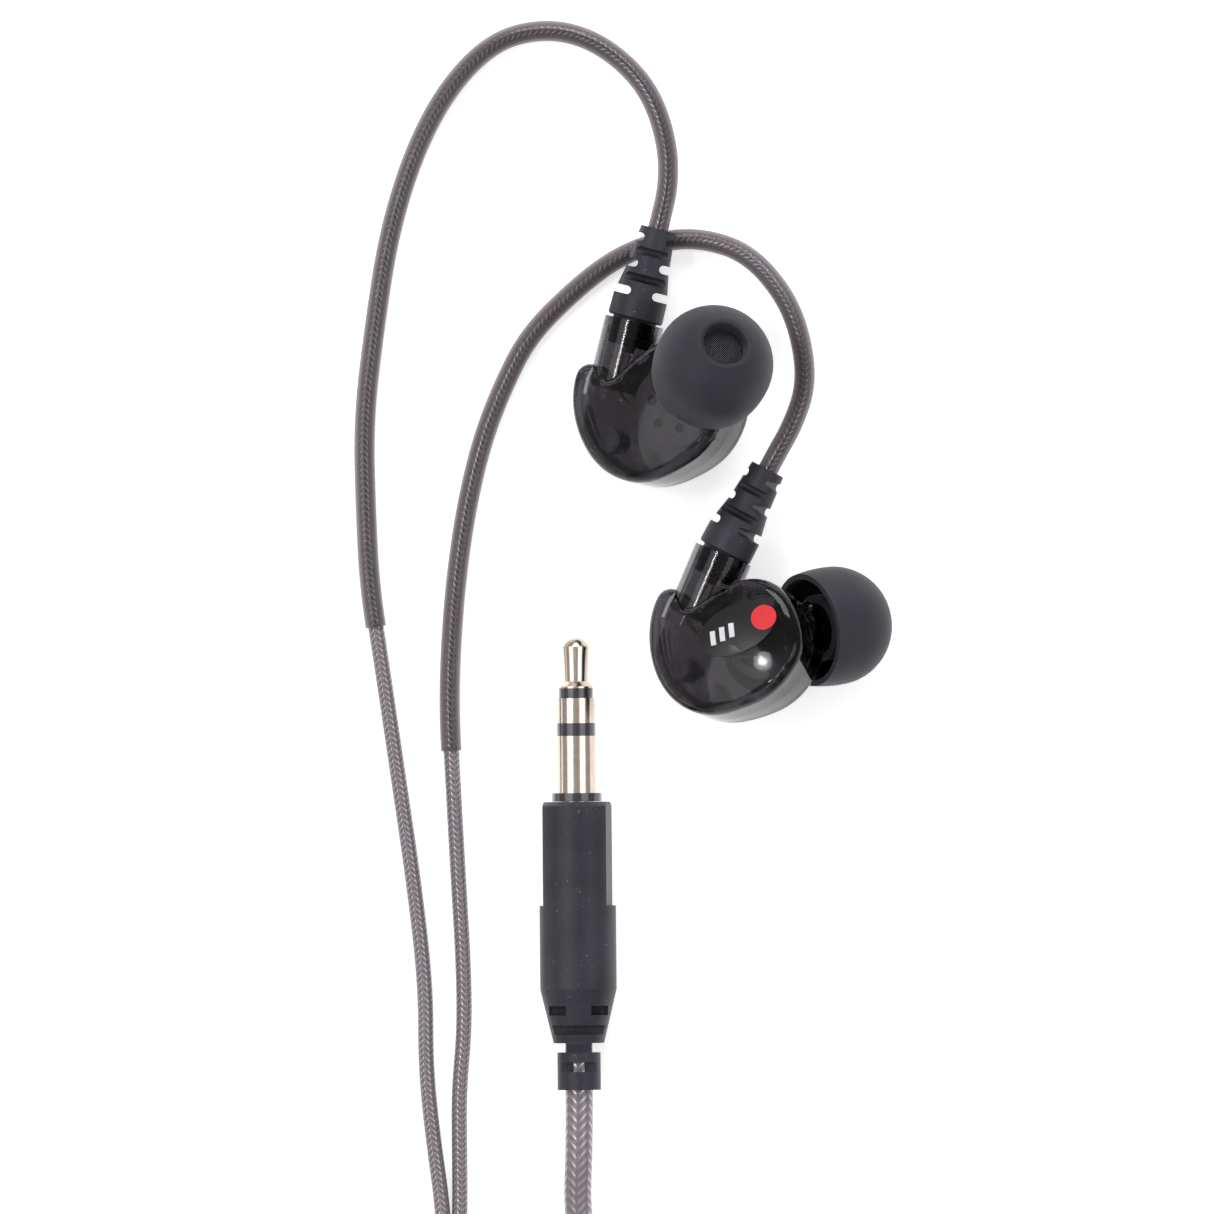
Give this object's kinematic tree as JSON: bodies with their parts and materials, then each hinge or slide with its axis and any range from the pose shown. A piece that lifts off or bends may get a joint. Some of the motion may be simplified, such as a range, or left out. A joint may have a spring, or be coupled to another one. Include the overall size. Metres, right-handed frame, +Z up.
{
  "type": "in-ear monitors",
  "caption": "Wired in-ear monitors with over-ear cables, soft ear tips, translucent shells, strain reliefs, a cable splitter and a stereo mini plug.",
  "frame": {"origin": "on the resting surface, below the middle of the two earpieces with their strain reliefs", "axes": "+Z up from the surface the set lies on, +Y along the plug towards its tip, +X towards the right earpiece's tip"},
  "size_m": [0.0589, 0.177, 0.0175],
  "materials": {
    "smoked_shell": "smoked translucent, polished",
    "screen_mesh": "fine woven mesh",
    "tip_silicone": "smooth matte silicone",
    "clear_tube": "clear, glossy",
    "driver_steel": "satin",
    "driver_basket": "matte",
    "diaphragm_film": "thin film",
    "copper": "enamelled copper",
    "magnet_nickel": "nickel plated",
    "circuit_board": "solder mask",
    "badge_black": "gloss print",
    "badge_silver": "satin",
    "marker_red": "gloss print",
    "marker_blue": "gloss print",
    "soft_boot": "fine matte grain",
    "braided_jacket": "clear jacket over a fine braid",
    "clear_sleeve": "clear, slightly smoky",
    "clear_slider": "satin",
    "tie_band": "matte",
    "plug_gold": "pale gold plating",
    "insulator_black": "gloss"
  },
  "bodies": {
    "monitors": {"cable_ties": "tie_band", "left_badge": "badge_black", "left_badge_bars": "badge_silver", "left_cable": "braided_jacket", "left_cable_coil": "braided_jacket", "left_cable_tail": "braided_jacket", "left_driver_basket": "driver_basket", "left_driver_front_cover": "driver_steel", "left_ear_sleeve": "clear_sleeve", "left_inner_shell": "smoked_shell", "left_lead_wires": "copper", "left_magnet": "magnet_nickel", "left_neck_tube": "clear_tube", "left_nozzle_screen": "screen_mesh", "left_outer_shell": "smoked_shell", "left_side_marker": "marker_blue", "left_strain_relief": "soft_boot", "left_terminal_board": "circuit_board", "left_top_plate": "driver_steel", "left_yoke": "driver_steel", "main_cable": "braided_jacket", "main_cable_coil": "braided_jacket", "main_cable_tail": "braided_jacket", "plug_collar": "plug_gold", "plug_conductors": "copper", "plug_grip": "soft_boot", "plug_insulators": "insulator_black", "plug_ring": "plug_gold", "plug_sleeve": "plug_gold", "plug_tip": "plug_gold", "right_badge": "badge_black", "right_badge_bars": "badge_silver", "right_cable": "braided_jacket", "right_cable_coil": "braided_jacket", "right_cable_tail": "braided_jacket", "right_driver_basket": "driver_basket", "right_driver_front_cover": "driver_steel", "right_ear_sleeve": "clear_sleeve", "right_inner_shell": "smoked_shell", "right_lead_wires": "copper", "right_magnet": "magnet_nickel", "right_neck_tube": "clear_tube", "right_nozzle_screen": "screen_mesh", "right_outer_shell": "smoked_shell", "right_side_marker": "marker_red", "right_strain_relief": "soft_boot", "right_terminal_board": "circuit_board", "right_top_plate": "driver_steel", "right_yoke": "driver_steel", "y_splitter": "soft_boot"},
    "left_tip": {"left_ear_tip": "tip_silicone"},
    "right_tip": {"right_ear_tip": "tip_silicone"},
    "left_voice": {"left_diaphragm": "diaphragm_film", "left_voice_coil": "copper"},
    "right_voice": {"right_diaphragm": "diaphragm_film", "right_voice_coil": "copper"},
    "slider": {"chin_slider": "clear_slider"}
  },
  "joints": [
    {"name": "left_tip_pull", "type": "slide", "parent": "monitors", "child": "left_tip", "axis": [0.2172, 0.4009, 0.89], "range_m": [0, 0.0062]},
    {"name": "right_tip_pull", "type": "slide", "parent": "monitors", "child": "right_tip", "axis": [0.818, 0.1332, -0.5596], "range_m": [0, 0.0062]},
    {"name": "left_diaphragm_stroke", "type": "slide", "parent": "monitors", "child": "left_voice", "axis": [-0.3639, 0.0887, 0.9272], "range_m": [-0.0001, 0.0001], "stiffness_N_per_m": 20},
    {"name": "right_diaphragm_stroke", "type": "slide", "parent": "monitors", "child": "right_voice", "axis": [0.3451, -0.1458, -0.9272], "range_m": [-0.0001, 0.0001], "stiffness_N_per_m": 20},
    {"name": "chin_slider_slide", "type": "slide", "parent": "monitors", "child": "slider", "axis": [0, -1, 0], "range_m": [0, 0.004]}
  ]
}
